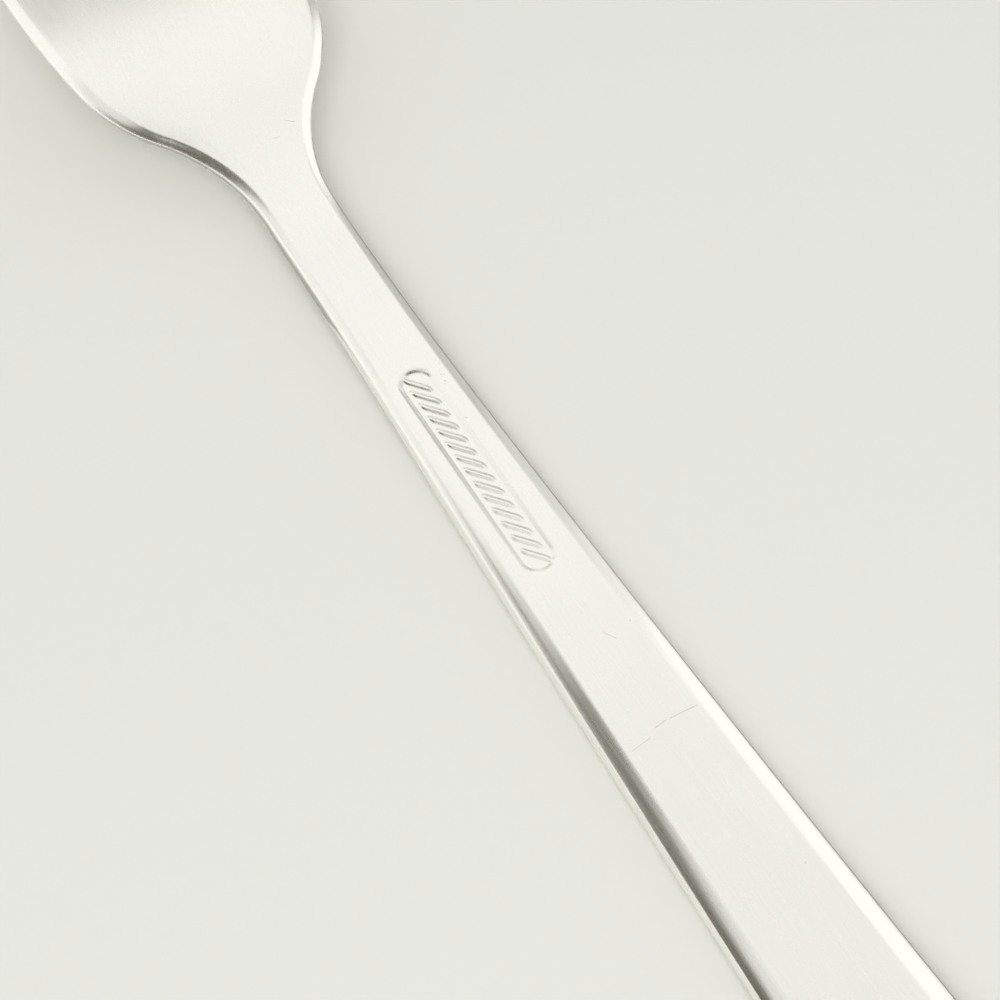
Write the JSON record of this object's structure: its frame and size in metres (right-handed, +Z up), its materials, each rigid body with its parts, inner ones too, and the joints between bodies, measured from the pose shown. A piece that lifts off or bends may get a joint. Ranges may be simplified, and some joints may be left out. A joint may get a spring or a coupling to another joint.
{
  "type": "salad fork",
  "caption": "Salad fork with a flat, tapered handle with rolled edges, a slim neck and a curved head with slender tines, for eating salads and small dishes.",
  "frame": {"origin": "middle of the fork's length and width, on the table that it lies on face down", "axes": "+X along the fork towards the tips of its tines, +Y across it, +Z up out of its back"},
  "size_m": [0.1754, 0.0252, 0.0094],
  "materials": {
    "satin_steel": "satin, brushed along its length"
  },
  "bodies": {
    "root": {"fork": "satin_steel"}
  },
  "joints": []
}
